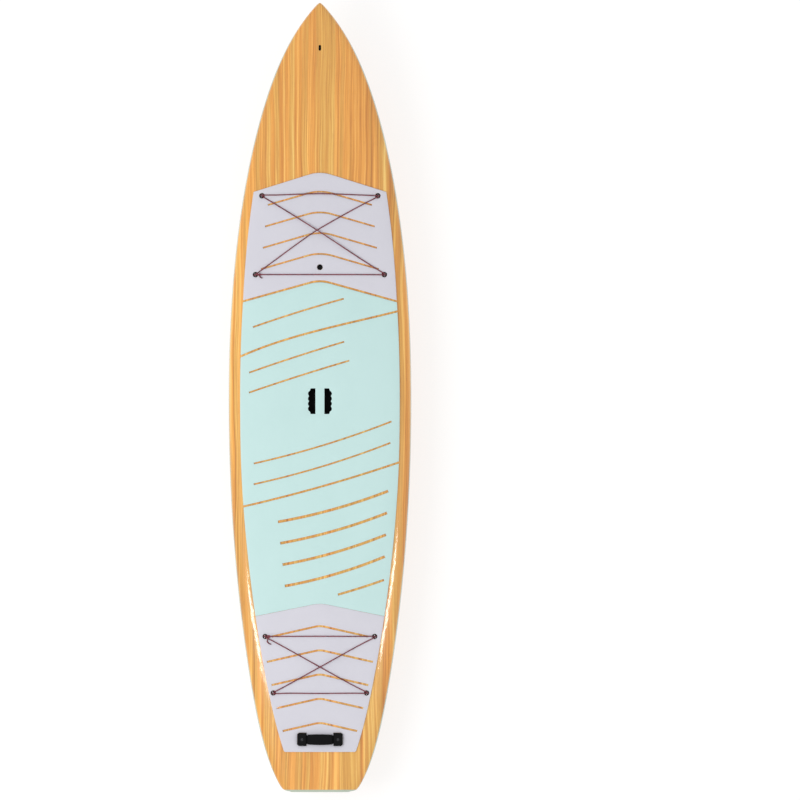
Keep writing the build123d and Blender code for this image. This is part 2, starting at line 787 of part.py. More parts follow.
with BuildPart() as stringer:
    with BuildSketch(Plane.XY.offset(HULL_BASE - 50)):
        Rectangle(STRINGER, LENGTH)
    extrude(amount=PRISM)
    add(foam.part, mode=Mode.INTERSECT)
finish(stringer.part, "stringer")

for name, side in (("left", -1), ("right", 1)):
    with BuildPart() as core_half:
        with BuildSketch(Plane.XY.offset(HULL_BASE - 50)):
            with Locations((side * (STRINGER + WIDTH) / 2, 0)):
                Rectangle(WIDTH, LENGTH)
        extrude(amount=PRISM)
        add(foam.part, mode=Mode.INTERSECT)
    finish(core_half.part, f"foam_core_{name}")


# ------------------------------------------------------------------ deck pads
def pad_half_width(y):
    """The pads keep inside the rails, and a little further inside toward the tail."""
    toward_nose = min(1.0, max(0.0, (y - 440) / 474))
    toward_tail = max(0.0, (-300 - y) / 1270)
    return half_width(y) - PAD_MARGIN + 9 * toward_nose - 30 * toward_tail**1.3


def pad_side(top, bottom, steps=6):
    """The right edge of a pad, from its top station to its bottom one."""
    stations = [top + (bottom - top) * step / steps for step in range(steps + 1)]
    return Spline(*[(pad_half_width(y), y) for y in stations])


def chevron_slots(count, first, pitch, slope, bend, spare, width, most=HALF_WIDTH):
    """Round-tipped chevron slots across a pad, each a fixed distance inside its edges."""
    for row in range(count):
        tip = first - pitch * row
        span = min(most, pad_half_width(tip - 45) - spare)
        corner = tip + bend * (math.hypot(1, slope) - 1)
        foot = corner - slope * span
        with BuildLine() as slot:
            FilletPolyline((-span, foot), (0, corner), (span, foot), radius=bend)
        trace(slot.line, line_width=width, mode=Mode.SUBTRACT)


def diagonal_slots(count, start, end, start_step, end_step, sag, width=SLOT_WIDTH):
    """Rows of slots that climb to the right, whose middles lie sag below their chords."""
    for row in range(count):
        left = Vector(*start) + Vector(*start_step) * row
        right = Vector(*end) + Vector(*end_step) * row
        with BuildLine() as slot:
            ThreePointArc(left, (left + right) / 2 - Vector(0, sag), right)
        trace(slot.line, line_width=width, mode=Mode.SUBTRACT)


def pad_holes(net):
    """Round holes for a net's anchors."""
    with Locations(*[corner for corner, _, _ in anchors(net)]):
        Circle(ANCHOR_RADIUS + 1, mode=Mode.SUBTRACT)


def laid_on_deck(outline):
    """A sheet of pad foam of the outline, laid on the deck."""
    with BuildPart() as sheet:
        with BuildSketch(Plane.XY.offset(HULL_BASE + THICKNESS / 2)):
            add(outline)
        extrude(amount=PRISM)
        add(hull.moved(Location((0, 0, PAD))), mode=Mode.INTERSECT)
        add(hull, mode=Mode.SUBTRACT)
    return sheet.part


with BuildSketch() as front_outline:
    with BuildLine():
        side = pad_side(FRONT_PAD_SHOULDER, 433)
        Line((0, FRONT_PAD_TIP), side @ 0)
        Line(side @ 1, (0, FRONT_PAD_FOOT))
        mirror(about=Plane.YZ)
    make_face()
    fillet(front_outline.vertices().filter_by(lambda v: abs(v.X) < 1), APEX_ROUND)
    chevron_slots(4, 915, 92, CHEVRON_SLOPE, CHEVRON_ROUND, 70, SLOT_WIDTH)
    pad_holes(FRONT_NET)
    with Locations((0, VENT_Y)):
        Circle(VENT_RADIUS + 1, mode=Mode.SUBTRACT)
finish(laid_on_deck(front_outline.sketch), "front_pad")

with BuildSketch() as mint_outline:
    with BuildLine():
        side = pad_side(424, -970, steps=10)
        Line((0, MINT_TOP), side @ 0)
        Line(side @ 1, (0, MINT_FOOT))
        mirror(about=Plane.YZ)
    make_face()
    fillet(mint_outline.vertices().filter_by(lambda v: abs(v.X) < 1), APEX_ROUND)
    with BuildLine():
        Spline((-380, 171), (-181, 249), (85, 322), (375, 392))
    trace(line_width=SEAM_WIDTH, mode=Mode.SUBTRACT)
    with BuildLine():
        ThreePointArc((-380, -492), (0, -396), (380, -277))
    trace(line_width=SEAM_WIDTH, mode=Mode.SUBTRACT)
    diagonal_slots(1, (-297, 314), (106, 440), (0, 0), (0, 0), -4)
    diagonal_slots(2, (-314, 112), (108, 249), (-1, -89), (22, -84), -3)
    diagonal_slots(2, (-294, -292), (318, -105), (0, -92), (-5, -95), SLOT_SAG)
    diagonal_slots(4, (-186, -551), (303, -414), (10, -95), (-5, -97), SLOT_SAG, LOW_SLOT_WIDTH)
    diagonal_slots(1, (80, -874), (284, -809), (0, 0), (0, 0), 2, LOW_SLOT_WIDTH - 2)
    with Locations((0, HANDLE_Y)):
        add(both_slots(1), mode=Mode.SUBTRACT)

mint = laid_on_deck(mint_outline.sketch)
for name, sheet in zip(("rear", "middle", "front"), mint.solids().sort_by(Axis.Y)):
    with BuildPart() as mint_pad:
        add(sheet)
    finish(mint_pad.part, f"mint_pad_{name}")

with BuildSketch() as rear_outline:
    with BuildLine():
        side = pad_side(-971, REAR_PAD_END)
        Line((0, MINT_FOOT - 0.6), side @ 0)
        Line(side @ 1, (0, REAR_PAD_END))
        mirror(about=Plane.YZ)
    make_face()
    fillet(rear_outline.vertices().filter_by(lambda v: abs(v.X) < 1 and v.Y > -1000), APEX_ROUND)
    fillet(rear_outline.vertices().group_by(Axis.Y)[0].filter_by(lambda v: abs(v.X) > 50), 10)
    chevron_slots(1, -1014, 0, REAR_CHEVRON_SLOPE, REAR_CHEVRON_ROUND, 19, REAR_SLOT_WIDTH, most=214)
    chevron_slots(4, -1121.7, 107.7, REAR_CHEVRON_SLOPE, REAR_CHEVRON_ROUND, 19, REAR_SLOT_WIDTH)
    pad_holes(REAR_NET)
    with Locations((0, TAIL_Y)):
        for side in (-1, 1):
            add(cap_outline(side, 1), mode=Mode.SUBTRACT)
finish(laid_on_deck(rear_outline.sketch), "tail_pad")


# ------------------------------------------------------------------ bungee nets
def over_pads(start, end, share, bow, lift):
    """A point of a cord that lies on the pads between two anchors, bowed in its middle."""
    middle = min(share, 1 - share) / STRAND_MIDDLE
    x = start[0] + (end[0] - start[0]) * share + bow[0] * middle
    y = start[1] + (end[1] - start[1]) * share + bow[1] * middle
    return Vector(x, y, deck_height(x, y) + PAD + lift)


def around_bar(anchor):
    """A cord's points round an anchor's bar: in, over it, down behind it, under it and out."""
    corner, pull, side = anchor
    plane = deck_plane(*corner, toward=pull)
    back = -BAR_BACK - (CORD_OVER - BAR_HEIGHT)
    local = [
        (9, 5.7 * side, CORD_OVER + 0.1),
        (back, 1.4 * side, CORD_OVER),
        (back, -1.4 * side, CORD_UNDER),
        (0.5, -2.7 * side, CORD_UNDER),
        (6.5, -2.9 * side, CORD_OVER),
        (15, -5.3 * side, CORD_OVER + 0.1),
    ]
    return [plane.from_local_coords(Vector(*point)) for point in local]


def cord_route(net, bows):
    """The whole route of a net's cord: knot, diagonal, far, diagonal, near and knot."""
    corners = anchors(net)
    knot = knot_plane(net).origin
    route = [(knot + Vector(1, 2, 0), CORD_BEND)]
    for place, anchor in enumerate(corners):
        bar_points = around_bar(anchor)[0 if place else 1 :]
        route += [(point, CORD_BEND) for point in bar_points]
        following = corners[(place + 1) % 4][0]
        for share in (0.14, STRAND_MIDDLE, 1 - STRAND_MIDDLE, 0.86):
            hump = CROSSING_HUMP if place == 2 and STRAND_MIDDLE <= share <= 1 - STRAND_MIDDLE else 0
            lift = CORD_LIFT + hump
            route.append((over_pads(anchor[0], following, share, bows[place], lift), STRAND_BEND))
    route.append((knot, CORD_BEND))
    return route


def knot_plane(net):
    """Where a net's cord is tied, just inside its first anchor, with x along the knot."""
    corner, pull, side = anchors(net)[0]
    plane = deck_plane(*corner, toward=pull)
    middle = plane.from_local_coords(Vector(KNOT_AHEAD, KNOT_ASIDE * side, KNOT_HEIGHT))
    return Plane(origin=middle, x_dir=plane.x_dir, z_dir=plane.z_dir)


def bend_radii(route):
    """The largest arc that each corner of a route leaves room for, up to its own limit."""
    radii = []
    for (before, _), (corner, most), (after, _) in zip(route, route[1:], route[2:]):
        turn = math.radians((corner - before).get_angle(after - corner))
        shorter = min((corner - before).length, (after - corner).length)
        radii.append(min(most, 0.45 * shorter / math.tan(turn / 2)))
    return radii


def bungee(net, bows, end, name):
    """A net's cord as one tube, and its knot with the cord's loose end."""
    route = cord_route(net, bows)
    radii = bend_radii(route)
    with BuildPart() as cord:
        with BuildLine() as path:
            FilletPolyline(*[point for point, _ in route], radius=radii)
        centre_line = path.wire()
        with BuildSketch(Plane(centre_line @ 0, z_dir=centre_line % 0)):
            Circle(CORD / 2)
        sweep()
    finish(cord.part, f"{name}_bungee")
    expected = math.pi * (CORD / 2) ** 2 * centre_line.length
    print(f"{name}_bungee: length {centre_line.length:.0f} mm, volume over expected "
          f"{cord.part.volume / expected:.4f}, radii {[round(radius, 1) for radius in radii]}")
    place = knot_plane(net)
    with BuildPart() as knot:
        with BuildSketch(Plane(origin=place.origin, x_dir=place.y_dir, z_dir=place.x_dir)):
            Circle(KNOT_RADIUS)
        extrude(amount=KNOT_HALF, both=True)
        fillet(knot.edges().filter_by(GeomType.CIRCLE), KNOT_ROUND)
        loose = [place.origin]
        for across, along, height in end:
            x, y = place.origin.X + across, place.origin.Y + along
            loose.append(Vector(x, y, deck_height(x, y) + height))
        with BuildLine() as loose_path:
            FilletPolyline(*loose, radius=CORD * 0.7)
        loose_wire = loose_path.wire()
        with BuildSketch(Plane(loose_wire @ 0, z_dir=loose_wire % 0)):
            Circle(CORD / 2)
        sweep(path=loose_wire)
    finish(knot.part, f"{name}_knot")


bungee(FRONT_NET, FRONT_BOWS, FRONT_END, "front")
bungee(REAR_NET, REAR_BOWS, REAR_END, "rear")
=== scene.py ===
"""Looks of a stand up paddleboard: lacquered veneer, deck foam, braided bungees and webbing."""

import json
import math

import bmesh
import bpy
from mathutils import Matrix, Vector
from mathutils.bvhtree import BVHTree


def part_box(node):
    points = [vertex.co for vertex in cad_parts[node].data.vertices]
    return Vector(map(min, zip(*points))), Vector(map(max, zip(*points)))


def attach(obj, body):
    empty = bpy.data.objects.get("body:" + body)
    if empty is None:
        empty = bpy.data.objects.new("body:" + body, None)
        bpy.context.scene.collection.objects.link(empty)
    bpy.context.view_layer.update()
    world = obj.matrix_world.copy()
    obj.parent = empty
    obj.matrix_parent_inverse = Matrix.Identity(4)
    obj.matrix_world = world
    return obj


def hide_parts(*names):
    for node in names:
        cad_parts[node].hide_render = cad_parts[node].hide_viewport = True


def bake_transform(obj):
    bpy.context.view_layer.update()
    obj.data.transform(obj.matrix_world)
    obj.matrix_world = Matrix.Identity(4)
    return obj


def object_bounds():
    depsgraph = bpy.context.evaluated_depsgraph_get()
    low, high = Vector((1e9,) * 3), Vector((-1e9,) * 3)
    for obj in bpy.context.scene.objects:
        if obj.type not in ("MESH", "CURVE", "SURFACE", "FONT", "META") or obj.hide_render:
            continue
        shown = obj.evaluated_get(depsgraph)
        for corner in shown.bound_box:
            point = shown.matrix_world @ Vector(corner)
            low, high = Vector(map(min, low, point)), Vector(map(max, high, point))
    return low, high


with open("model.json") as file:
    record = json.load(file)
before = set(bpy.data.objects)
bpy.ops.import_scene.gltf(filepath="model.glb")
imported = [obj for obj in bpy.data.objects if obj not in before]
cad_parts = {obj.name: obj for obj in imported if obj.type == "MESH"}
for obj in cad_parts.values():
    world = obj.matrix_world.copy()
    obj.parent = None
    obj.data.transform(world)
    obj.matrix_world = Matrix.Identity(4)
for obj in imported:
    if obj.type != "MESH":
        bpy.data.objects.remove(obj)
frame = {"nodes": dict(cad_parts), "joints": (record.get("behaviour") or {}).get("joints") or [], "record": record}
cad_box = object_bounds()
nodes = frame["nodes"]
MM = 0.001


# ------------------------------------------------------------------ camera
PICTURE_SPAN = 3.554
PICTURE_MIDDLE = (0.3556, -0.0098)
CAMERA_DISTANCE = 60
DECK_LEVEL = 0.3


def overhead_camera():
    """Straight above the deck, with the board on the left of the picture."""
    data = bpy.data.cameras.new("camera")
    data.sensor_width = 36
    data.lens = data.sensor_width * CAMERA_DISTANCE / PICTURE_SPAN
    data.clip_end = 4 * CAMERA_DISTANCE
    camera = bpy.data.objects.new("camera", data)
    camera.location = (*PICTURE_MIDDLE, DECK_LEVEL + CAMERA_DISTANCE)
    bpy.context.scene.collection.objects.link(camera)
    bpy.context.scene.camera = camera


overhead_camera()


# ------------------------------------------------------------------ helpers for meshes
def tree_of(name):
    """A search tree of a CAD node's surface."""
    mesh = nodes[name].data
    return BVHTree.FromPolygons([v.co for v in mesh.vertices], [p.vertices for p in mesh.polygons])


deck_tree = tree_of("deck_skin")


def deck_height(x, y):
    """Height of the deck at a place in plan."""
    return deck_tree.ray_cast(Vector((x, y, 1)), Vector((0, 0, -1)))[0].z


def add_piece(name, mesh, body, material):
    """A new piece with a mesh, on a body, with a material."""
    piece = bpy.data.objects.new(name, mesh)
    bpy.context.scene.collection.objects.link(piece)
    mesh.materials.append(material)
    for polygon in mesh.polygons:
        polygon.use_smooth = True
    if body:
        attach(piece, body)
    return piece


def lofted(name, rings):
    """A closed mesh through rings that have the same number of points."""
    count = len(rings[0])
    points = [point for ring in rings for point in ring]
    faces = []
    last = len(rings) - 1
    for row in range(last):
        here, there = row * count, (row + 1) * count
        for step in range(count):
            after = (step + 1) % count
            faces.append((here + step, here + after, there + after, there + step))
    faces.append(tuple(reversed(range(count))))
    faces.append(tuple(range(last * count, (last + 1) * count)))
    mesh = bpy.data.meshes.new(name)
    mesh.from_pydata([tuple(point) for point in points], [], faces)
    mesh.update()
    return mesh


def route_line(name, points, resolution):
    """The smooth line of a route: a NURBS spline with the route's points as its control points."""
    curve = bpy.data.curves.new(name, "CURVE")
    curve.dimensions = "3D"
    curve.resolution_u = resolution
    spline = curve.splines.new("NURBS")
    spline.points.add(len(points) - 1)
    for point, place in zip(spline.points, points):
        point.co = (*place, 1)
    spline.order_u = 3
    spline.use_endpoint_u = True
    holder = bpy.data.objects.new(name, curve)
    line = [vertex.co.copy() for vertex in bpy.data.meshes.new_from_object(holder).vertices]
    bpy.data.objects.remove(holder)
    return line


def evenly(line, step):
    """The same line with its points a step apart."""
    lengths = [0.0]
    for before, after in zip(line, line[1:]):
        lengths.append(lengths[-1] + (after - before).length)
    count = max(2, round(lengths[-1] / step))
    spread, place = [], 0
    for index in range(count + 1):
        target = lengths[-1] * index / count
        while place < len(line) - 2 and lengths[place + 1] < target:
            place += 1
        run = lengths[place + 1] - lengths[place] or 1
        spread.append(line[place].lerp(line[place + 1], (target - lengths[place]) / run))
    return spread, lengths[-1]


def swept(name, line, around, radius_at):
    """A tube along a line, whose radius depends on the place along it and round it."""
    side = Vector((0, 0, 1))
    rings, travelled = [], 0.0
    for index, centre in enumerate(line):
        before = line[max(index - 1, 0)]
        after = line[min(index + 1, len(line) - 1)]
        direction = (after - before).normalized()
        side = (side - direction * side.dot(direction)).normalized()
        across = direction.cross(side)
        travelled += (centre - before).length if index else 0
        ring = []
        for step in range(around):
            turn = 2 * math.pi * step / around
            radius = radius_at(travelled, turn)
            ring.append(centre + (side * math.cos(turn) + across * math.sin(turn)) * radius)
        rings.append(ring)
    return lofted(name, rings)


# ------------------------------------------------------------------ helpers for materials
DARK = (0, 0, 0, 1)
LIGHT = (1, 1, 1, 1)


def linear(red, green, blue):
    """A colour given as screen values from 0 to 255, as linear light."""
    def one(value):
        share = value / 255
        return share / 12.92 if share <= 0.04045 else ((share + 0.055) / 1.055) ** 2.4

    return (one(red), one(green), one(blue), 1)


def tinted(colour, share, lift=0):
    """A colour that is darker or lighter by a share."""
    return tuple(min(1, value * share + lift) for value in colour[:3]) + (1,)


class Nodes:
    """A material's node tree, with short ways to add and join nodes."""

    def __init__(self, name):
        self.material = bpy.data.materials.new(name)
        self.material.use_nodes = True
        self.tree = self.material.node_tree
        self.shader = self.tree.nodes["Principled BSDF"]
        self.place = self.add("ShaderNodeTexCoord").outputs["Object"]

    def add(self, kind, **settings):
        """A new node with its settings."""
        node = self.tree.nodes.new(kind)
        for key, value in settings.items():
            setattr(node, key, value)
        return node

    def join(self, output, socket):
        """Links an output to a socket."""
        self.tree.links.new(output, socket)

    def look(self, **values):
        """Sets the shader's own sockets, by their names with _ for a space."""
        for key, value in values.items():
            self.shader.inputs[key.replace("_", " ")].default_value = value

    def scaled(self, scale, source=None, shift=(0, 0, 0)):
        """Coordinates multiplied by a scale and moved by a shift."""
        node = self.add("ShaderNodeMapping")
        node.inputs["Scale"].default_value = scale
        node.inputs["Location"].default_value = shift
        self.join(source or self.place, node.inputs["Vector"])
        return node.outputs["Vector"]

    def noise(self, vector, detail=3, roughness=0.5, distortion=0.0):
        """Noise whose size is set by the vector's own scale."""
        node = self.add("ShaderNodeTexNoise")
        node.inputs["Scale"].default_value = 1
        node.inputs["Detail"].default_value = detail
        node.inputs["Roughness"].default_value = roughness
        node.inputs["Distortion"].default_value = distortion
        self.join(vector, node.inputs["Vector"])
        return node.outputs["Fac"]

    def math(self, operation, first, second=0):
        """A sum of one or two values, each a number or a node's output."""
        node = self.add("ShaderNodeMath", operation=operation)
        for socket, value in zip(node.inputs, (first, second)):
            if isinstance(value, (int, float)):
                socket.default_value = value
            else:
                self.join(value, socket)
        return node.outputs[0]

    def wave(self, output, length):
        """A sine of a coordinate, with its wavelength in metres."""
        return self.math("SINE", self.math("MULTIPLY", output, 2 * math.pi / length))

    def mask(self, factor, low, high):
        """0 below the low value and 1 above the high one."""
        return self.ramp(factor, [(low, DARK), (high, LIGHT)])

    def ramp(self, factor, stops):
        """Colours at positions along a factor, in order."""
        node = self.add("ShaderNodeValToRGB")
        elements = node.color_ramp.elements
        while len(elements) < len(stops):
            elements.new(0.5)
        for element, (position, colour) in zip(elements, stops):
            element.position = position
            element.color = colour
        self.join(factor, node.inputs["Fac"])
        return node.outputs["Color"]

    def mix(self, factor, first, second):
        """One colour turning into another as the factor goes from 0 to 1."""
        node = self.add("ShaderNodeMix", data_type="RGBA")
        sockets = (node.inputs[0], node.inputs[6], node.inputs[7])
        for socket, value in zip(sockets, (factor, first, second)):
            if isinstance(value, (int, float, tuple)):
                socket.default_value = value
            else:
                self.join(value, socket)
        return node.outputs[2]

    def bump(self, height, distance, strength=1.0):
        """Relief of the surface, with its depth in metres."""
        node = self.add("ShaderNodeBump")
        node.inputs["Distance"].default_value = distance
        node.inputs["Strength"].default_value = strength
        self.join(height, node.inputs["Height"])
        self.join(node.outputs["Normal"], self.shader.inputs["Normal"])

    def colour(self, output):
        """The shader's base colour."""
        self.join(output, self.shader.inputs["Base Color"])

    def roughness(self, factor, low, high):
        """The shader's roughness, from low to high along a factor."""
        node = self.add("ShaderNodeMapRange")
        node.inputs["To Min"].default_value = low
        node.inputs["To Max"].default_value = high
        self.join(factor, node.inputs["Value"])
        self.join(node.outputs["Result"], self.shader.inputs["Roughness"])


# ------------------------------------------------------------------ materials
GRAIN_WANDER = 0.07
GRAIN_BUMP = 0.00006
FOAM_GROOVE = 0.0055
WEAVE_ACROSS = 0.0016
WEAVE_ALONG = 0.0022


def veneer(name, shift, lacquer=True):
    """Veneer cut along the board: wandering bands and rings, ring lines, fibres and lacquer."""
    n = Nodes(name)
    wander = n.noise(n.scaled((2.2, 1.1, 0), shift=shift), detail=2)
    sideways = n.add("ShaderNodeCombineXYZ")
    drift = n.math("MULTIPLY", n.math("SUBTRACT", wander, 0.5), GRAIN_WANDER)
    n.join(drift, sideways.inputs["X"])
    moved = n.add("ShaderNodeVectorMath", operation="ADD")
    n.join(n.place, moved.inputs[0])
    n.join(sideways.outputs[0], moved.inputs[1])
    grain = moved.outputs[0]
    bands = n.noise(n.scaled((42, 0.4, 0), grain, shift), detail=2)
    rings = n.noise(n.scaled((95, 0.55, 0), grain, shift), detail=3, roughness=0.62)
    streaks = n.noise(n.scaled((230, 1.3, 0), grain, shift), detail=3, roughness=0.6)
    fibres = n.noise(n.scaled((700, 6, 0), grain, shift), detail=2)
    tone = n.noise(n.scaled((16, 0.28, 0), grain, shift), detail=2)
    pores = n.noise(n.scaled((620, 26, 0), grain, shift), detail=1)
    mixed = n.math("MULTIPLY", bands, 0.22)
    for layer, share in ((rings, 0.34), (streaks, 0.27), (tone, 0.07), (fibres, 0.1)):
        mixed = n.math("ADD", mixed, n.math("MULTIPLY", layer, share))
    orange = n.ramp(mixed, [
        (0.41, linear(176, 102, 24)),
        (0.47, linear(214, 141, 50)),
        (0.53, linear(234, 162, 66)),
        (0.59, linear(250, 190, 94)),
    ])
    yellow = n.ramp(mixed, [
        (0.41, linear(180, 118, 38)),
        (0.47, linear(212, 153, 62)),
        (0.53, linear(228, 174, 80)),
        (0.59, linear(244, 202, 112)),
    ])
    hue = n.noise(n.scaled((34, 0.35, 0), grain, (5.3, 1.9, 0)), detail=1)
    wood = n.mix(n.mask(hue, 0.42, 0.58), orange, yellow)
    ring_line = n.math("ABSOLUTE", n.math("SUBTRACT", rings, 0.5))
    line_mask = n.ramp(ring_line, [(0.003, LIGHT), (0.022, DARK)])
    lined = n.mix(n.math("MULTIPLY", line_mask, 0.5), wood, linear(188, 112, 38))
    pore_mask = n.mask(pores, 0.66, 0.74)
    n.colour(n.mix(n.math("MULTIPLY", pore_mask, 0.35), lined, linear(150, 88, 34)))
    n.bump(n.math("ADD", fibres, n.math("MULTIPLY", pore_mask, -0.6)), GRAIN_BUMP)
    n.roughness(streaks, 0.34, 0.46)
    if lacquer:
        n.look(Coat_Weight=1.0, Coat_Roughness=0.1, Coat_IOR=1.5)
    return n.material


def deck_foam(name, colour, shade):
    """Brushed EVA foam: fine square grooves, cell speckle and a slightly worn tone."""
    n = Nodes(name)
    cells = n.noise(n.scaled((900, 900, 900)), detail=2)
    wear = n.noise(n.scaled((5, 3, 5)), detail=4, roughness=0.6)
    mixed = n.mix(n.math("MULTIPLY", wear, 0.5), colour, shade)
    n.colour(n.mix(n.math("MULTIPLY", cells, 0.25), mixed, shade))
    split = n.add("ShaderNodeSeparateXYZ")
    n.join(n.place, split.inputs[0])
    grooves = []
    for axis in ("X", "Y"):
        wave = n.wave(split.outputs[axis], FOAM_GROOVE)
        grooves.append(n.math("POWER", n.math("ABSOLUTE", wave), 0.35))
    squares = n.math("MULTIPLY", grooves[0], grooves[1])
    n.bump(n.math("ADD", squares, n.math("MULTIPLY", cells, 0.5)), 0.00035, 0.7)
    n.roughness(cells, 0.66, 0.86)
    n.look(Sheen_Weight=0.15, Sheen_Roughness=0.5)
    return n.material


def moulded(name, colour, low=0.34, high=0.5, grain=1500, depth=0.00008):
    """Moulded plastic or rubber with a fine texture."""
    n = Nodes(name)
    texture = n.noise(n.scaled((grain, grain, grain)), detail=2)
    patches = n.noise(n.scaled((40, 40, 40)), detail=3)
    lighter = tinted(colour, 1.6, 0.001)
    n.colour(n.mix(patches, colour, lighter))
    n.bump(texture, depth)
    n.roughness(patches, low, high)
    n.look(Specular_IOR_Level=0.08)
    return n.material


def painted(name, colour):
    """Gloss paint with a trace of orange peel."""
    n = Nodes(name)
    peel = n.noise(n.scaled((160, 160, 160)), detail=1)
    patches = n.noise(n.scaled((3, 3, 3)), detail=3)
    darker = tinted(colour, 0.93)
    n.colour(n.mix(patches, colour, darker))
    n.bump(peel, 0.00004)
    n.roughness(patches, 0.28, 0.38)
    n.look(Coat_Weight=0.8, Coat_Roughness=0.05)
    return n.material


def metal(name, colour, low=0.18, high=0.34):
    """Turned or brushed metal."""
    n = Nodes(name)
    scratches = n.noise(n.scaled((2600, 180, 2600)), detail=3)
    darker = tinted(colour, 0.78)
    n.colour(n.mix(scratches, colour, darker))
    n.bump(scratches, 0.00002)
    n.roughness(scratches, low, high)
    n.look(Metallic=1.0)
    return n.material


def smoked(name):
    """Dark translucent fin plastic, polished, with faint swirls."""
    n = Nodes(name)
    swirl = n.noise(n.scaled((18, 9, 18)), detail=4, distortion=0.8)
    n.colour(n.ramp(swirl, [(0.3, linear(58, 50, 44)), (0.7, linear(96, 86, 78))]))
    scuffs = n.noise(n.scaled((240, 60, 60)), detail=3)
    n.roughness(scuffs, 0.1, 0.24)
    n.bump(scuffs, 0.00002)
    n.look(Transmission_Weight=0.55, IOR=1.49)
    return n.material


def braid(name, colour, fleck):
    """Braided sheath: yarn speckle over the strands, with the odd darker yarn."""
    n = Nodes(name)
    yarn = n.noise(n.scaled((1400, 1400, 1400)), detail=2)
    tracer = n.noise(n.scaled((90, 90, 90)), detail=1)
    base = n.mix(n.mask(tracer, 0.55, 0.62), colour, fleck)
    darker = tinted(colour, 0.45)
    n.colour(n.mix(n.math("MULTIPLY", yarn, 0.7), base, darker))
    n.bump(yarn, 0.0001)
    n.roughness(yarn, 0.6, 0.85)
    n.look(Sheen_Weight=0.3)
    return n.material


def woven(name, colour):
    """Webbing: a close plain weave across and along."""
    n = Nodes(name)
    split = n.add("ShaderNodeSeparateXYZ")
    n.join(n.place, split.inputs[0])
    across = n.wave(split.outputs["X"], WEAVE_ACROSS)
    along = n.wave(split.outputs["Y"], WEAVE_ALONG)
    weave = n.math("MULTIPLY", across, along)
    yarn = n.noise(n.scaled((1800, 1800, 1800)), detail=2)
    lighter = tinted(colour, 2.2, 0.003)
    n.colour(n.mix(n.math("MULTIPLY", yarn, 0.6), colour, lighter))
    n.bump(n.math("ADD", weave, yarn), 0.00025)
    n.roughness(yarn, 0.6, 0.85)
    n.look(Specular_IOR_Level=0.1)
    return n.material


def beads(name, colour, shade):
    """Bead foam, such as a board's core."""
    n = Nodes(name)
    cells = n.add("ShaderNodeTexVoronoi", feature="DISTANCE_TO_EDGE")
    n.join(n.scaled((280, 280, 280)), cells.inputs["Vector"])
    n.colour(n.ramp(cells.outputs["Distance"], [(0.02, shade), (0.12, colour)]))
    n.bump(cells.outputs["Distance"], 0.0004)
    n.look(Roughness=0.8)
    return n.material


BLACK = (0.003, 0.003, 0.0034, 1)
SOFT_BLACK = (0.0035, 0.0035, 0.004, 1)
LAVENDER = linear(211, 210, 218)
LAVENDER_SHADE = linear(192, 190, 200)
MINT = linear(197, 225, 223)
MINT_SHADE = linear(176, 207, 204)

looks = {
    "deck_veneer": veneer("deck_veneer", (0.31, 0.2, 0)),
    "bottom_veneer": veneer("bottom_veneer", (7.7, 3.1, 0)),
    "stringer_wood": veneer("stringer_wood", (4.2, 9.0, 0), lacquer=False),
    "rail_paint": painted("rail_paint", linear(176, 190, 170)),
    "lavender_eva": deck_foam("lavender_eva", LAVENDER, LAVENDER_SHADE),
    "mint_eva": deck_foam("mint_eva", MINT, MINT_SHADE),
    "black_plastic": moulded("black_plastic", BLACK),
    "cup_plastic": moulded("cup_plastic", BLACK, low=0.5, high=0.65),
    "box_plastic": moulded("box_plastic", BLACK, low=0.4, high=0.55),
    "seal_rubber": moulded("seal_rubber", (0.02, 0.02, 0.02, 1), low=0.6, high=0.75),
    "black_eva": moulded("black_eva", SOFT_BLACK, low=0.62, high=0.8, grain=900, depth=0.0002),
    "black_webbing": woven("black_webbing", BLACK),
    "bungee_cord": braid("bungee_cord", linear(132, 44, 60), linear(84, 28, 40)),
    "steel": metal("steel", (0.4, 0.4, 0.41, 1)),
    "black_steel": metal("black_steel", (0.06, 0.06, 0.065, 1), low=0.3, high=0.45),
    "brass": metal("brass", (0.78, 0.57, 0.25, 1)),
    "smoked_plastic": smoked("smoked_plastic"),
    "core_foam": beads("core_foam", linear(238, 238, 234), linear(205, 205, 200)),
    "dense_foam": beads("dense_foam", linear(226, 214, 184), linear(190, 178, 146)),
}

for row in frame["record"]["subparts"]:
    look = row["material_slot"]
    if look == "wood_veneer":
        look = "deck_veneer" if row["node"] == "deck_skin" else "bottom_veneer"
    node = nodes[row["node"]]
    node.data.materials.clear()
    node.data.materials.append(looks[look])


# ------------------------------------------------------------------ bungee nets
# Sizes of the cord, the pads and the knot are in metres, and places on the deck in millimetres.
CORD = 0.005
PAD = 0.005
CORD_OVER = 8.4
CORD_UNDER = -0.8
CORD_LIFT = 3.4
STRAND_MIDDLE = 0.44
CROSSING_HUMP = 5.9
STRAND_SHARES = (0.14, STRAND_MIDDLE, 1 - STRAND_MIDDLE, 0.86)
KNOT_PLACE = (17, 5, 11.3)
CORD_STEP = 0.0011
CORD_SIDES = 20
KNOT_SIZE = 0.0022
KNOT_TUBE = 0.0021
KNOT_STEPS = 96
BRAID_CARRIERS = 6
BRAID_PITCH = 0.024
BRAID_RELIEF = 0.09
FRONT_NET = ((286, 547), (257, 897))
FRONT_BOWS = ((-13, 13), (0, 9), (-13, 13), (0, 0))
FRONT_END = ((2, -7, 10), (6, -13, 8.2), (14, -15, 8.2))
REAR_NET = ((243, -1060), (207, -1311))
REAR_BOWS = ((0, 0), (0, -2), (0, 0), (0, 1))
REAR_END = ((-3, -6, 14), (-7, -15, 13.8), (-8, -25, 8.2), (0, -32, 8.2), (10, -35, 8.2))
SLOPE_REACH = 20


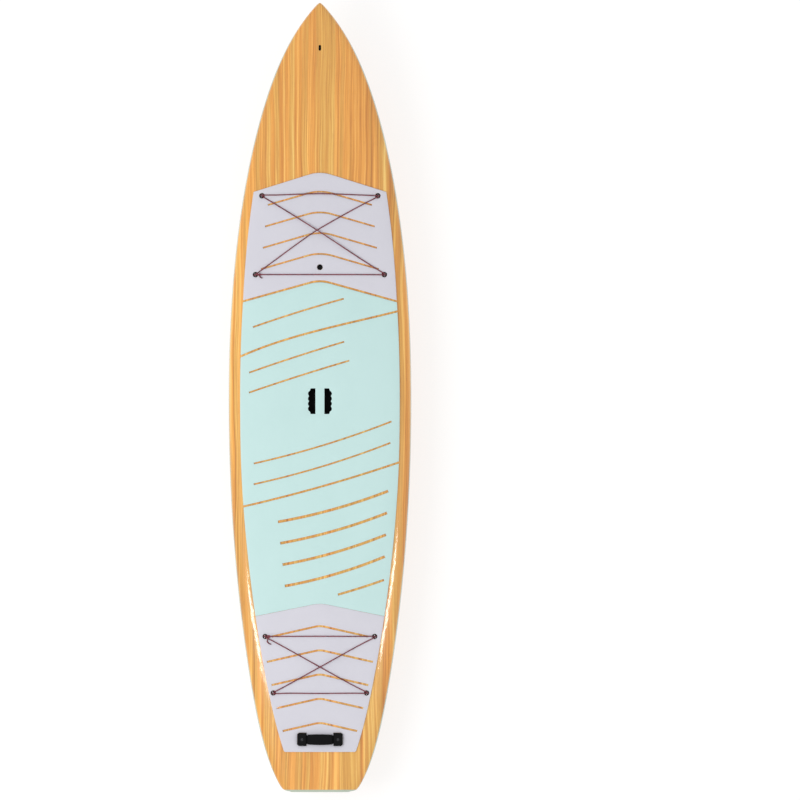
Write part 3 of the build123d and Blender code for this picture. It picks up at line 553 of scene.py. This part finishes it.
def net_anchors(net):
    """The four anchors of a net in the cord's order, each with its pull and its side."""
    (near_x, near_y), (far_x, far_y) = net
    corners = [(-near_x, near_y), (far_x, far_y), (-far_x, far_y), (near_x, near_y)]
    found = []
    for place, corner in enumerate(corners):
        before = Vector((*corners[place - 1], 0)) - Vector((*corner, 0))
        after = Vector((*corners[(place + 1) % 4], 0)) - Vector((*corner, 0))
        pull = (before.normalized() + after.normalized()).normalized()
        side = 1 if pull.cross(before).z > 0 else -1
        found.append((corner, pull, side))
    return found


def anchor_axes(corner, pull):
    """An anchor's own axes: toward the pull, across it, and out of the deck."""
    x, y = corner[0] * MM, corner[1] * MM
    reach = SLOPE_REACH * MM
    left, right = deck_height(x - reach, y), deck_height(x + reach, y)
    back, front = deck_height(x, y - reach), deck_height(x, y + reach)
    up = Vector(((left - right) / (2 * reach), (back - front) / (2 * reach), 1)).normalized()
    toward = (pull - up * pull.dot(up)).normalized()
    middle = Vector((x, y, (left + right + back + front) / 4))
    return Matrix((toward, up.cross(toward), up)).transposed(), middle


def at_anchor(anchor, *places):
    """Places given in millimetres in an anchor's own axes, in the frame."""
    corner, pull, _ = anchor
    axes, middle = anchor_axes(corner, pull)
    return [middle + axes @ (Vector(place) * MM) for place in places]


def over_pads(start, end, share, bow, lift):
    """A point of a cord that lies on the pads between two anchors, bowed in its middle."""
    middle = min(share, 1 - share) / STRAND_MIDDLE
    x = (start[0] + (end[0] - start[0]) * share + bow[0] * middle) * MM
    y = (start[1] + (end[1] - start[1]) * share + bow[1] * middle) * MM
    return Vector((x, y, deck_height(x, y) + PAD + lift * MM))


def cord_route(net, bows):
    """The whole route of a net's cord: knot, diagonal, far, diagonal, near and knot."""
    corners = net_anchors(net)
    ahead, aside, above = KNOT_PLACE
    knot = at_anchor(corners[0], (ahead, aside * corners[0][2], above))[0]
    route = [knot + Vector((1, 2, 0)) * MM]
    for place, anchor in enumerate(corners):
        side = anchor[2]
        if place:
            route += at_anchor(anchor, (9, 5.7 * side, CORD_OVER + 0.1))
        route += at_anchor(
            anchor,
            (-6.2, 1.4 * side, CORD_OVER),
            (-6.2, -1.4 * side, CORD_UNDER),
            (0.5, -2.7 * side, CORD_UNDER),
            (6.5, -2.9 * side, CORD_OVER),
            (15, -5.3 * side, CORD_OVER + 0.1),
        )
        following = corners[(place + 1) % 4][0]
        for share in STRAND_SHARES:
            crosses = place == 2 and STRAND_MIDDLE <= share <= 1 - STRAND_MIDDLE
            lift = CORD_LIFT + (CROSSING_HUMP if crosses else 0)
            route.append(over_pads(anchor[0], following, share, bows[place], lift))
    route.append(knot)
    return route, knot


def braid_radius(travelled, turn):
    """Radius of the sheath: two families of strands wind opposite ways and cross in diamonds."""
    round_it = BRAID_CARRIERS * turn / (2 * math.pi)
    along_it = BRAID_CARRIERS * travelled / BRAID_PITCH
    one = math.sin(math.pi * (round_it + along_it))
    other = math.sin(math.pi * (round_it - along_it))
    return CORD / 2 * (1 - BRAID_RELIEF + BRAID_RELIEF * math.sqrt(abs(one * other)))


def braided(name, route):
    """A braided cord's mesh along a route, and its length."""
    line, length = evenly(route_line(name + "_route", route, 24), CORD_STEP)
    return swept(name, line, CORD_SIDES, braid_radius), length


def trefoil(centre, axes):
    """A small tied knot: a trefoil of cord, flattened toward the deck."""
    line = []
    for step in range(KNOT_STEPS + 1):
        turn = 2 * math.pi * step / KNOT_STEPS
        x = math.sin(turn) + 2 * math.sin(2 * turn)
        y = math.cos(turn) - 2 * math.cos(2 * turn)
        z = -math.sin(3 * turn)
        line.append(centre + axes @ (Vector((x, y * 0.75, z * 0.8)) * KNOT_SIZE))
    return swept("knot", line, 14, lambda travelled, turn: KNOT_TUBE)


def bungee(name, net, bows, end):
    """A net's braided cord, and its knot with the cord's loose end."""
    route, knot = cord_route(net, bows)
    mesh, length = braided(name + "_cord", route)
    cord = add_piece(name + "_cord", mesh, "board", looks["bungee_cord"])
    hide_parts(name + "_bungee")
    corner, pull, _ = net_anchors(net)[0]
    axes, _ = anchor_axes(corner, pull)
    loose = [knot]
    for across, along, height in end:
        x, y = knot.x + across * MM, knot.y + along * MM
        loose.append(Vector((x, y, deck_height(x, y) + height * MM)))
    work = bmesh.new()
    work.from_mesh(trefoil(knot, axes))
    work.from_mesh(braided(name + "_end", loose)[0])
    mesh = bpy.data.meshes.new(name + "_tied_knot")
    work.to_mesh(mesh)
    work.free()
    tied = add_piece(name + "_tied_knot", mesh, "board", looks["bungee_cord"])
    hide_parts(name + "_knot")
    print(name, "cord length", round(length, 3))


bungee("front", FRONT_NET, FRONT_BOWS, FRONT_END)
bungee("rear", REAR_NET, REAR_BOWS, REAR_END)


# ------------------------------------------------------------------ deck pads
PAD_BEVEL = 0.0014
PAD_WELD = 0.00002
SHARP = math.radians(50)
FACES_UP = 0.6


def bevelled_pad(name, slot):
    """A deck pad with softly cut edges round its outline, slots and holes."""
    mesh = nodes[name].data.copy()
    mesh.materials.clear()
    work = bmesh.new()
    work.from_mesh(mesh)
    bmesh.ops.remove_doubles(work, verts=work.verts, dist=PAD_WELD)
    bmesh.ops.dissolve_degenerate(work, edges=work.edges, dist=PAD_WELD)
    rim = []
    for edge in work.edges:
        if len(edge.link_faces) == 2 and edge.calc_face_angle(0) > SHARP:
            if max(face.normal.z for face in edge.link_faces) > FACES_UP:
                rim.append(edge)
    bmesh.ops.bevel(
        work,
        geom=rim,
        offset=PAD_BEVEL,
        segments=2,
        profile=0.5,
        affect="EDGES",
        clamp_overlap=True,
    )
    work.to_mesh(mesh)
    work.free()
    piece = add_piece(name + "_foam", mesh, "board", looks[slot])
    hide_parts(name)


for pad in ("front_pad", "tail_pad"):
    bevelled_pad(pad, "lavender_eva")
for pad in ("mint_pad_front", "mint_pad_middle", "mint_pad_rear"):
    bevelled_pad(pad, "mint_eva")


# ------------------------------------------------------------------ tail handle
GRIP_WIDTH = 0.046
GRIP_THICK = 0.014
GRIP_RISE = 0.009
GRIP_STEPS = 72
STRAP_WIDTH = 0.038
STRAP_THICK = 0.0024
STRAP_RISE = 0.0028
STRAP_INNER, STRAP_OUTER = 0.040, 0.086
STRAP_STEPS = 32

grip_low, grip_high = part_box("tail_grip")
grip_middle = (grip_low + grip_high) / 2
grip_half = (grip_high.x - grip_low.x) / 2
lift_joint = next(joint for joint in frame["joints"] if joint["name"] == "tail_handle_lift")
tail_up = Vector(lift_joint["axis"]).normalized()
tail_along = Vector((0, tail_up.z, -tail_up.y))
grip_top = grip_middle.y, grip_high.z - GRIP_THICK / 2 - 0.0005


def rounded(turn, across, rise, squareness):
    """A place on a round-cornered section, squarer as its two powers are smaller."""
    cosine, sine = math.cos(turn), math.sin(turn)
    return (
        math.copysign(abs(cosine) ** squareness[0], cosine) * across,
        math.copysign(abs(sine) ** squareness[1], sine) * rise,
    )


def grip_ring(share):
    """A section of the grip at a share of its half length: a soft slab, fuller in the middle."""
    reach = abs(share)
    closing = math.sqrt(max(0.0, 1 - max(0.0, (reach - 0.9) / 0.1) ** 2)) * 0.45 + 0.55
    groove = 1 - 0.05 * math.exp(-((reach - 0.86) / 0.012) ** 2)
    width = (GRIP_WIDTH / 2 + 0.0008 - 0.0018 * reach**2) * (0.9 + 0.1 * closing) * groove
    thick = (GRIP_THICK / 2) * closing * groove
    middle = Vector((share * grip_half, grip_top[0], grip_top[1] - GRIP_RISE * reach**2))
    ring = []
    for step in range(40):
        across, rise = rounded(2 * math.pi * step / 40, width, thick, (0.55, 0.7))
        if rise < 0:
            rise *= 1 - 0.12 * (0.5 + 0.5 * math.cos(5 * math.pi * share * 1.6))
        ring.append(middle + tail_along * across + tail_up * rise)
    return ring


def tail_grip():
    """The foam grip of the tail handle, with a pressed line near each end."""
    rings = [grip_ring(2 * step / GRIP_STEPS - 1) for step in range(GRIP_STEPS + 1)]
    mesh = lofted("tail_grip_foam", rings)
    grip = add_piece("tail_grip_foam", mesh, "tail_grip", looks["black_eva"])
    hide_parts("tail_grip")


def tail_strap(name, side):
    """The webbing between a cap and the grip: one fixed piece that rises a little toward the grip."""
    low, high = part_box("tail_strap_" + name)
    middle = (low + high) / 2
    rings = []
    for step in range(STRAP_STEPS + 1):
        share = step / STRAP_STEPS
        x = side * (STRAP_INNER + (STRAP_OUTER - STRAP_INNER) * share)
        lift = STRAP_RISE * (1 - share) ** 3
        centre = Vector((x, middle.y, middle.z)) + tail_up * lift
        ring = []
        for corner in range(28):
            turn = 2 * math.pi * corner / 28
            across, rise = rounded(turn, STRAP_WIDTH / 2, STRAP_THICK / 2, (0.25, 0.6))
            ring.append(centre + tail_along * across + tail_up * rise)
        rings.append(ring)
    mesh = lofted("tail_webbing_" + name, rings)
    strap = add_piece("tail_webbing_" + name, mesh, None, looks["black_webbing"])
    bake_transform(strap)
    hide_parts("tail_strap_" + name)


tail_grip()
tail_strap("left", -1)
tail_strap("right", 1)


# ------------------------------------------------------------------ studio
FLOOR_SIZE = 160
FLOOR_GAP = 0.0005
FLOOR_GREY = (0.32, 0.32, 0.32, 1)
FLOOR_GLOW = 0.72
WORLD_LIGHT = 0.8


def pale_floor():
    """A plain pale floor under the fin's tip: it glows a little, and is clear from below."""
    mesh = bpy.data.meshes.new("floor")
    half = FLOOR_SIZE / 2
    level = cad_box[0].z - FLOOR_GAP
    corners = [(x * half, y * half, level) for x, y in ((-1, -1), (1, -1), (1, 1), (-1, 1))]
    mesh.from_pydata(corners, [], [(0, 1, 2, 3)])
    material = bpy.data.materials.new("floor")
    material.use_nodes = True
    tree = material.node_tree
    shader = tree.nodes["Principled BSDF"]
    shader.inputs["Base Color"].default_value = FLOOR_GREY
    shader.inputs["Roughness"].default_value = 0.9
    shader.inputs["Specular IOR Level"].default_value = 0.1
    shader.inputs["Emission Color"].default_value = LIGHT
    shader.inputs["Emission Strength"].default_value = FLOOR_GLOW
    clear = tree.nodes.new("ShaderNodeBsdfTransparent")
    facing = tree.nodes.new("ShaderNodeNewGeometry")
    both = tree.nodes.new("ShaderNodeMixShader")
    tree.links.new(facing.outputs["Backfacing"], both.inputs[0])
    tree.links.new(shader.outputs[0], both.inputs[1])
    tree.links.new(clear.outputs[0], both.inputs[2])
    tree.links.new(both.outputs[0], tree.nodes["Material Output"].inputs["Surface"])
    mesh.materials.append(material)
    floor = bpy.data.objects.new("floor", mesh)
    bpy.context.scene.collection.objects.link(floor)


def area_light(name, place, aim, size, power, along=(1, 0, 0), diffuse=True, glossy=True):
    """A soft box that the camera doesn't see, with its first side along a direction."""
    data = bpy.data.lights.new(name, "AREA")
    data.shape = "RECTANGLE"
    data.size, data.size_y = size
    data.energy = power
    light = bpy.data.objects.new(name, data)
    out = (Vector(place) - Vector(aim)).normalized()
    side = (Vector(along) - out * Vector(along).dot(out)).normalized()
    turned = Matrix((side, out.cross(side), out)).transposed().to_4x4()
    light.matrix_world = Matrix.Translation(place) @ turned
    light.visible_camera = False
    light.visible_diffuse = diffuse
    light.visible_glossy = glossy
    bpy.context.scene.collection.objects.link(light)


def gleam(name, start, end, aim, width, power):
    """A thin strip light between two places, seen only as a streak in the lacquer."""
    start, end = Vector(start), Vector(end)
    size = ((end - start).length, width)
    area_light(name, (start + end) / 2, aim, size, power, along=end - start, diffuse=False)


def studio():
    """Even white light, a soft key, and strips that gleam on the tail's shoulders."""
    world = bpy.data.worlds.new("studio")
    world.use_nodes = True
    background = world.node_tree.nodes["Background"]
    background.inputs["Color"].default_value = LIGHT
    background.inputs["Strength"].default_value = WORLD_LIGHT
    bpy.context.scene.world = world
    bpy.context.scene.view_settings.view_transform = "Standard"
    area_light("key", (-3.2, -1.2, 5.5), (0, 0, 0.3), (3.5, 3.5), 160, glossy=False)
    left_bend = (-1.2, -1.45, 3.12)
    gleam("gleam_left", (-1.7, -1.03, 2.95), left_bend, (-0.29, -1.03, 0.3), 0.18, 9.5)
    gleam("gleam_left_tail", left_bend, (-0.64, -1.74, 3.26), (-0.24, -1.35, 0.3), 0.14, 3)
    gleam("gleam_right", (1.86, -0.78, 2.96), (1.2, -1.42, 3.14), (0.27, -1.13, 0.3), 0.16, 12)


pale_floor()
studio()
